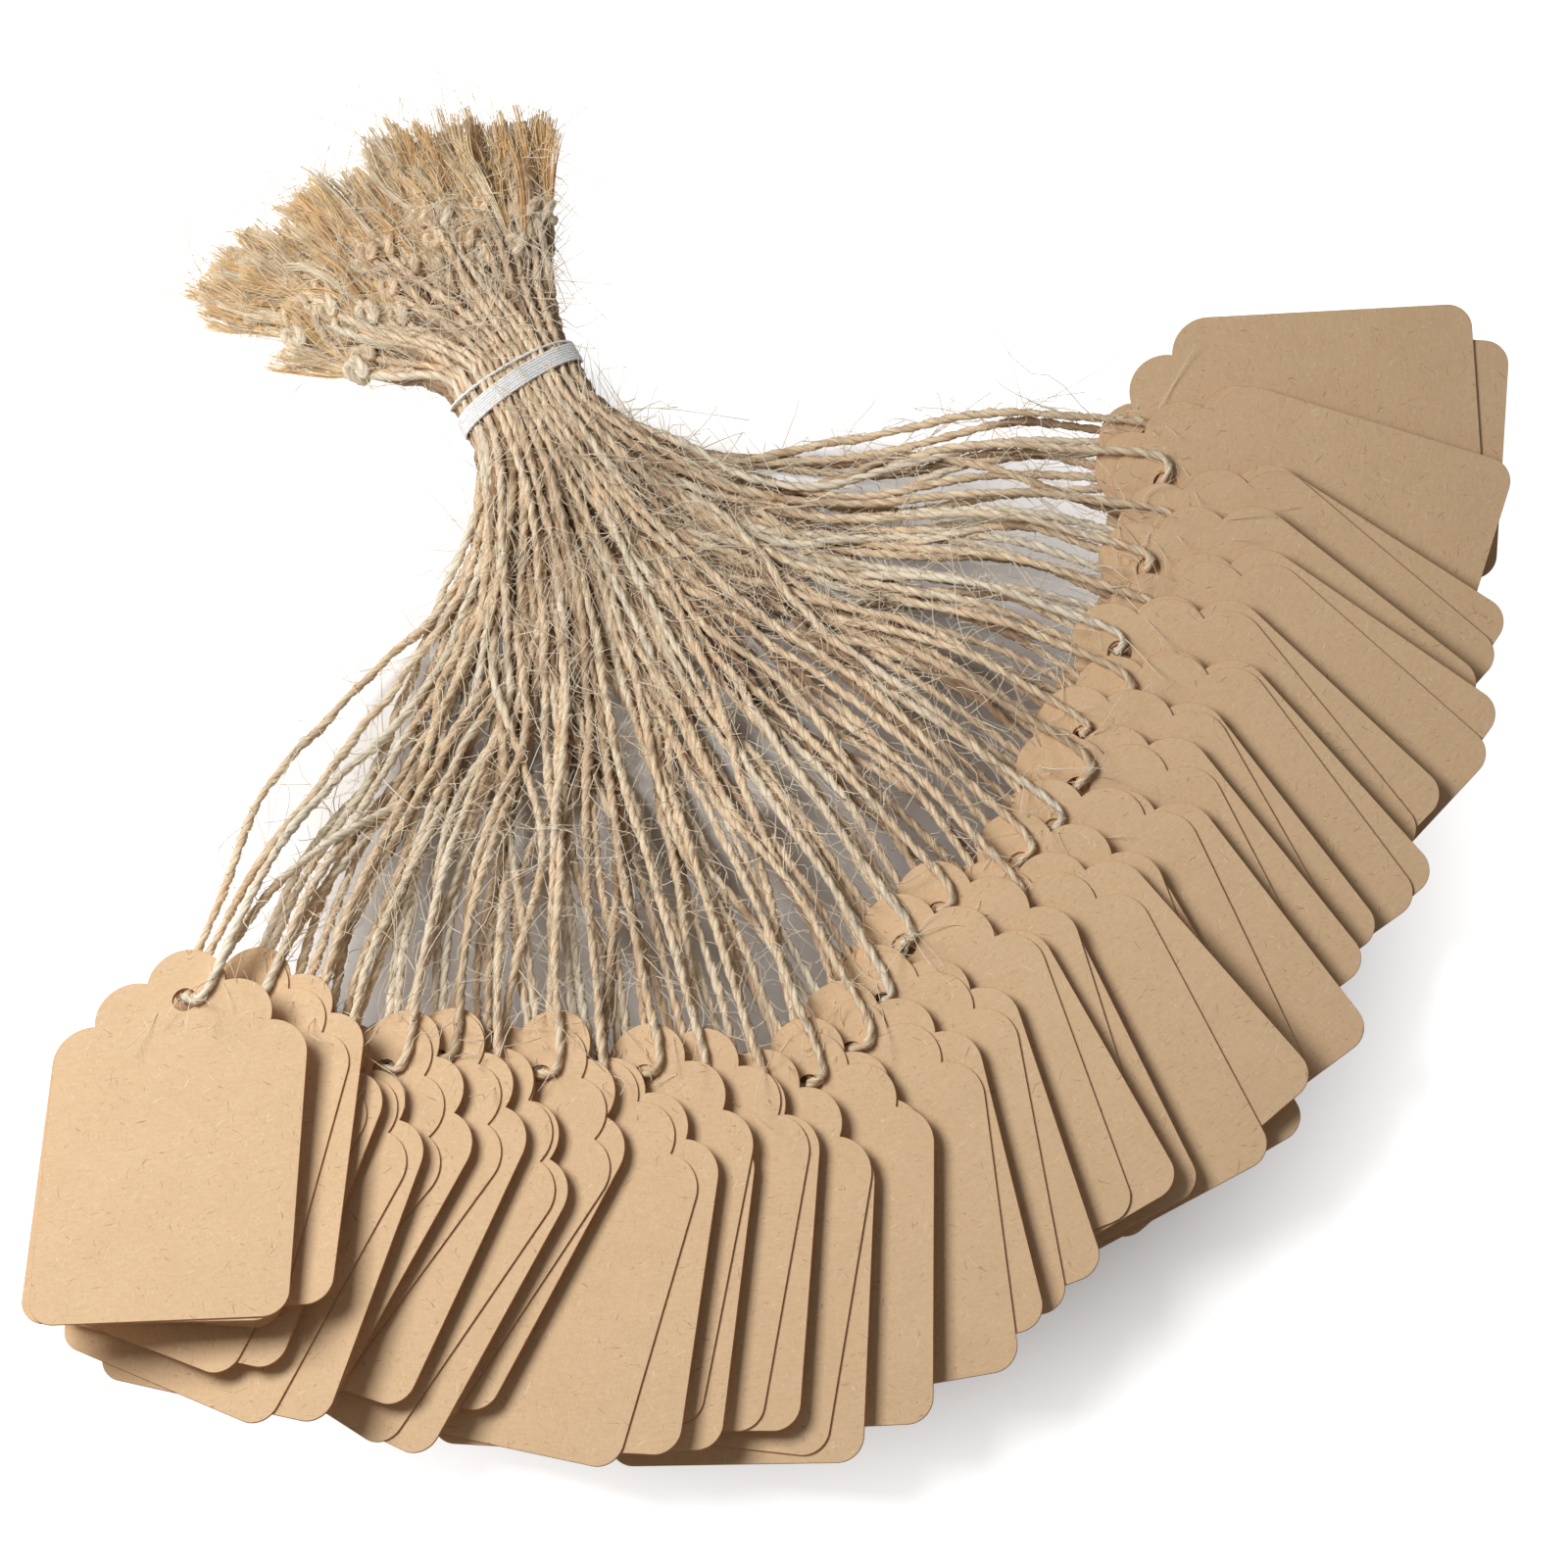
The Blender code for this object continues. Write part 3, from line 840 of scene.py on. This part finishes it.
def hairPaths(path, count, chance):
    shape = frayShape
    starts = np.array([chance.randrange(2, len(path) - 2) for _ in range(count)])
    fromTie = path[starts] - tieMiddle
    bare = np.abs(fromTie @ forward) < hank["half"] + shape["bareTie"]
    starts = starts[~bare | (np.linalg.norm(fromTie, axis=1) > shape["bareReach"])]
    count = len(starts)
    tangent = unit(path[starts + 1] - path[starts - 1])
    loose = scattered(count, chance)
    loose[:, 2] = np.abs(loose[:, 2]) * shape["rise"]
    loose = unit(loose - (loose * tangent).sum(1, keepdims=True) * tangent)
    sense = np.array([chance.choice((-1, 1)) for _ in range(count)])[:, None]
    lean = np.array([chance.uniform(*shape["lean"]) for _ in range(count)])[:, None]
    leaving = unit(tangent * sense + loose * lean)
    low, high = shape["hairLength"]
    length = np.array([low + (high - low) * chance.random() ** 2 for _ in range(count)])[:, None]
    bow = unit(scattered(count, chance)) * shape["sideways"] * length * shape["bow"]
    curl = unit(scattered(count, chance)) * shape["sideways"] * length * shape["curl"]
    start = np.array([chance.uniform(0, 6.28) for _ in range(count)])[:, None]
    turns = np.array([chance.uniform(*shape["curlTurns"]) for _ in range(count)])[:, None]
    stations = np.linspace(0, 1, shape["hairPoints"])
    paths = []
    for s in stations:
        curled = curl * s * (np.sin(start + turns * s) - np.sin(start))
        paths.append(path[starts] + leaving * length * s + bow * s * s + curled)
    paths = np.stack(paths, 1)
    paths[:, :, 2] = np.maximum(paths[:, :, 2], shape["offTable"][0])
    girth = np.array([chance.uniform(0.7, 1.3) for _ in range(count)])[:, None]
    return paths, shape["hairRadius"] * girth * np.linspace(1.1, 0.6, len(stations))[None]


def wavering(count, size, low, high, stations, chance):
    start = np.array([chance.uniform(0, 6.28) for _ in range(count)])[:, None]
    turns = np.array([chance.uniform(low, high) for _ in range(count)])[:, None]
    swing = (np.sin(start + turns * stations) - np.sin(start)) * stations**0.6
    return scattered(count, chance)[:, None] * size * swing[..., None]


def tuftPaths(tail, chance):
    # the tail's plies come apart into wavy locks of fibre, cut off at the end
    shape = frayShape
    line = evenly(tail[::-1], shape["lockPoints"])  # from the knot to the tip
    leaving = unit(line[-1] - line[-3])
    stations = np.linspace(0, 1, len(line))
    spread = shape["lockSpread"] * chance.uniform(0.6, 1.3)
    paths, tones = [], []
    for _ in range(shape["locks"]):
        loose = scattered(1, chance)
        loose -= (loose @ leaving)[:, None] * leaving
        lock = line + loose * (shape["lockStart"] + spread * stations**1.1)[:, None]
        lock = lock + wavering(1, shape["lockWave"], 2, 5, stations, chance)[0]
        lock = lock + leaving * (chance.uniform(-1, 1) * shape["tipScatter"] * stations**2)[:, None]
        count = shape["lockFibres"]
        fibres = scattered(count, chance)
        fibres -= (fibres @ leaving)[:, None] * leaving
        swell = shape["fibreSpread"] * (0.5 + 0.8 * stations)
        hairs = lock[None] + fibres[:, None] * swell[None, :, None]
        hairs += wavering(count, shape["fibreWave"], 4, 11, stations, chance)
        tone = chance.uniform(*shape["lockTones"])
        paths.append(hairs)
        tones += [tone + chance.uniform(-shape["fibreTone"], shape["fibreTone"]) for _ in range(count)]
    paths = np.concatenate(paths)
    paths[:, :, 2] = np.maximum(paths[:, :, 2], shape["offTable"][1])
    girth = np.array([chance.uniform(0.6, 1.4) for _ in tones])[:, None]
    return paths, shape["fibreRadius"] * girth * np.linspace(1.15, 0.7, len(line))[None], tones


def makeTwine(k):
    name = twineNames[k]
    label = name.replace("twine", "jute")
    chance = random.Random(twineShape["seed"] + k)
    strands, fray = [], []
    for pair in (0, 1):
        tone = chance.uniform(*twineShape["tones"])
        path, beside = wholeTwine(k, pair)
        girth = np.ones(len(path))
        tail = strandShape["tailPoints"]
        girth[:tail] = np.linspace(twineShape["tailSwell"], 1, tail)
        girth[-tail:] = np.linspace(1, twineShape["tailSwell"], tail)
        upper, lower = shadeCover[4 * k + pair], shadeCover[4 * k + 2 + pair]
        over = np.concatenate([upper, np.full(len(path) - 2 * len(upper), upper[-1]), lower[::-1]])
        # painted shade: the twine is darkened where other strands lie over it
        shaded = tone - twineShape["dim"] * over
        rings, lay, line = twistedRings(path, beside, shaded, chance, girth, twineShape["turn"])
        strands.append((meshFromRings(label + ("_mate" if pair else ""), [(rings, lay, False)]), line))
        upper, lower = routes[4 * k + pair], routes[4 * k + 2 + pair]
        knot = (upper[tail - 1] + lower[tail - 1]) / 2
        outward = unit(upper[tail - 4] + lower[tail - 4] - upper[tail + 2] - lower[tail + 2])
        fray.append((*knotRings(knot, outward, min(1, tone + 0.1), chance), True))
        paths, radii = hairPaths(line, frayShape["hairs"], chance)
        tones = [chance.uniform(*frayShape["hairTones"]) for _ in paths]
        fray.append((*plainRings(paths, radii, tones, chance), False))
        for strand in (upper, lower):
            paths, radii, tones = tuftPaths(strand[:tail], chance)
            fray.append((*plainRings(paths, radii, tones, chance), False))
            paths, radii = hairPaths(strand[:tail], frayShape["frizz"], chance)
            tones = [chance.uniform(*frayShape["frizzTones"]) for _ in paths]
            fray.append((*plainRings(paths, radii, tones, chance), False))
    own = linkMesh(label, strands[0][0], jute)
    mate = linkMesh(label + "_mate", strands[1][0], jute)
    loose = linkMesh(label + "_fray", meshFromRings(label + "_fray", fray), jute)
    for piece in (own, mate, loose):
        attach(piece, "bundle")
    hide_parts(name)
    line = strands[0][1]


for k in range(len(twineNames)):
    makeTwine(k)
print("twines made")


# The white thread that ties the hank

threadShape = {
    "diameter": 0.0006,
    "pitch": 0.00055,
    "closeTurns": 7,
    "loosePitch": 0.0060,
    "turnPoints": 60,
    "skew": 11,  # the winding lies this far from square to the hank
    "girth": 0.36,  # of the twine's
    "twist": 0.003,
    "seed": 3,
}


def makeTie():
    places = hankPlaces(4 * len(cardFrames))
    grow = twineShape["plyRadius"] + twineShape["plyApart"] + threadShape["diameter"] / 2
    halfWide = abs(places[:, 0]).max() + grow
    halfHigh = abs(places[:, 1]).max() + grow
    close = threadShape["closeTurns"]
    turn = np.arange((close + 1) * threadShape["turnPoints"] + 1) / threadShape["turnPoints"]
    shift = threadShape["pitch"] * (np.minimum(turn, close) - close / 2)
    shift += threadShape["loosePitch"] * np.maximum(0, turn - close)
    skew = threadShape["skew"]
    wide = level(hank["heading"] + 90 + skew) * halfWide / math.cos(math.radians(skew))
    spoke = wide * np.cos(2 * math.pi * turn)[:, None] + up * np.sin(2 * math.pi * turn)[:, None] * halfHigh
    path = tieMiddle - forward * shift[:, None] + spoke
    beside = np.repeat(forward[None], len(path), 0)
    chance = random.Random(threadShape["seed"])
    girth = [threadShape["girth"]] * 2
    rings, lay, _ = twistedRings(path, beside, [0.5, 0.5], chance, girth, threadShape["twist"])
    piece = linkMesh("cotton_tie", meshFromRings("cotton_tie", [(rings, lay, False)]), cotton)
    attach(piece, "bundle")
    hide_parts("tie_thread")


makeTie()
print("tie made")


# The cards, finer than the solids, each with a second card lying just under it

cardShape = {
    "width": 0.045,
    "height": 0.070,
    "thickness": 0.0004,
    "lobe": 0.007,
    "holeFromTop": 0.0098,
    "hole": 0.0022,
    "shoulderDrop": 0.0116,
    "middlePush": 0.0015,
    "foot": 0.0045,
    "rim": 0.00005,  # the softened cut edge
    "arcStep": 5,
}


def bearing(vector):
    return math.degrees(math.atan2(vector.y, vector.x))


def toPoint(angle, radius):
    return Vector((math.cos(math.radians(angle)), math.sin(math.radians(angle)))) * radius


def arc(centre, radius, start, end):
    count = max(2, round(abs(end - start) / cardShape["arcStep"]))
    return [centre + toPoint(start + (end - start) * k / count, radius) for k in range(count)]


def notch(left, right):
    half = (right - left) / 2
    outward = Vector((-half.y, half.x)).normalized()
    point = left + half + outward * math.sqrt(cardShape["lobe"] ** 2 - half.length**2)
    return bearing(point - left), bearing(point - right)


def cardOutline():
    shape = cardShape
    half = shape["width"] / 2
    head = Vector((0, shape["holeFromTop"] - shape["lobe"]))
    corner = Vector((half - shape["lobe"], -shape["shoulderDrop"]))
    slope = corner - head
    middle = (head + corner) / 2 + Vector((-slope.y, slope.x)).normalized() * shape["middlePush"]
    headSide, middleInner = notch(head, middle)
    middleOuter, cornerSide = notch(middle, corner)
    foot = Vector((half - shape["foot"], shape["holeFromTop"] - shape["height"] + shape["foot"]))
    right = arc(foot, shape["foot"], -90, 0) + [foot + toPoint(0, shape["foot"])]
    right += arc(corner, shape["lobe"], 0, cornerSide)
    right += arc(middle, shape["lobe"], middleOuter, middleInner)
    right += arc(head, shape["lobe"], headSide, 90)
    return right + [head + toPoint(90, shape["lobe"])] + [Vector((-p.x, p.y)) for p in reversed(right)]


def cardMesh():
    curve = bpy.data.curves.new("kraft_card", "CURVE")
    curve.dimensions = "2D"
    curve.fill_mode = "BOTH"
    curve.extrude = cardShape["thickness"] / 2 - cardShape["rim"]
    curve.bevel_depth = cardShape["rim"]
    curve.bevel_resolution = 1
    curve.offset = -cardShape["rim"]
    for ring in (cardOutline(), arc(Vector((0, 0)), cardShape["hole"], 0, 360)):
        spline = curve.splines.new("POLY")
        spline.points.add(len(ring) - 1)
        spline.use_cyclic_u = True
        for point, place in zip(spline.points, ring):
            point.co = (place.x, place.y, 0, 1)
    shell = bpy.data.objects.new("kraft_card_curve", curve)
    mesh = bpy.data.meshes.new_from_object(shell)
    bpy.data.objects.remove(shell)
    bpy.data.curves.remove(curve)
    mesh.name = "kraft_card"
    mesh.materials.clear()
    mesh.materials.append(kraftFace)
    mesh.materials.append(kraftEdge)
    for face in mesh.polygons:
        face.material_index = 0 if abs(face.normal.z) > 0.95 else 1
    return mesh


def makeCards():
    mesh = cardMesh()
    for name, own, mate in zip(cardNames, cardFrames, mates):
        label = name.replace("tag", "kraft")
        for hole, normal, toHead in (own, mate):
            piece = bpy.data.objects.new(label if hole is own[0] else label + "_mate", mesh)
            piece.matrix_world = Matrix((np.cross(toHead, normal), toHead, normal)).transposed().to_4x4()
            piece.location = hole
            bpy.context.scene.collection.objects.link(piece)
            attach(piece, name)
            if hole is own[0]:
                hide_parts(name)


makeCards()
print("cards made")


# Floor and light

studio = {
    "floor": (0.80, 0.77, 0.74, 1),
    "glowNear": 0.0,  # lifts the pale floor to white, less so among the strands
    "glowFar": 1.0,
    "glowFrom": 0.055,
    "glowTo": 0.14,
    "floorReach": 4.0,
    "world": 0.15,
    "lampWatts": 2.68,
    "lampSize": 0.28,
    "lampPlace": (-0.36, 0.06, 0.42),
}


def floorMaterial(name):
    ground = nodeTree(name)
    ground.shader.inputs["Base Color"].default_value = studio["floor"]
    ground.shader.inputs["Roughness"].default_value = 0.9
    ground.shader.inputs["Emission Color"].default_value = (1, 1, 1, 1)
    place = ground.add("ShaderNodeVectorMath", operation="LENGTH")
    ground.join(ground.add("ShaderNodeTexCoord").outputs["Object"], place.inputs[0])
    glow = [studio[key] for key in ("glowFrom", "glowTo", "glowNear", "glowFar")]
    glow = ground.span(place.outputs["Value"], *glow)
    path = ground.add("ShaderNodeLightPath")
    seen = ground.sums("ADD", path.outputs["Is Camera Ray"], path.outputs["Is Glossy Ray"])
    seen = ground.sums("ADD", seen, path.outputs["Is Transmission Ray"])
    ground.join(ground.sums("MULTIPLY", glow, seen), ground.shader.inputs["Emission Strength"])
    return ground.material


def makeStudio():
    floorMesh = bpy.data.meshes.new("floor")
    reach = studio["floorReach"]
    corners = [(-reach, -reach, 0), (reach, -reach, 0), (reach, reach, 0), (-reach, reach, 0)]
    floorMesh.from_pydata(corners, [], [(0, 1, 2, 3)])
    floor = linkMesh("floor", floorMesh, floorMaterial("floor_pale"))
    world = bpy.data.worlds.new("studio")
    bpy.context.scene.world = world
    world.use_nodes = True
    nodes, links = world.node_tree.nodes, world.node_tree.links
    nodes["Background"].inputs["Color"].default_value = (1, 1, 1, 1)
    seen = nodes.new("ShaderNodeMapRange")  # white where it is looked at, a plain level as light
    seen.inputs["To Min"].default_value = studio["world"]
    path = nodes.new("ShaderNodeLightPath")
    total = path.outputs["Is Camera Ray"]
    for kind in ("Is Glossy Ray", "Is Transmission Ray"):
        both = nodes.new("ShaderNodeMath")
        links.new(total, both.inputs[0])
        links.new(path.outputs[kind], both.inputs[1])
        total = both.outputs[0]
    links.new(total, seen.inputs["Value"])
    links.new(seen.outputs["Result"], nodes["Background"].inputs["Strength"])
    light = bpy.data.lights.new("key", "AREA")
    light.energy = studio["lampWatts"]
    light.size = studio["lampSize"]
    lamp = bpy.data.objects.new("key", light)
    lamp.location = studio["lampPlace"]
    lamp.rotation_euler = (-Vector(studio["lampPlace"])).to_track_quat("-Z", "Y").to_euler()
    bpy.context.scene.collection.objects.link(lamp)
    bpy.context.scene.view_settings.view_transform = "Standard"


makeStudio()
print("studio made")
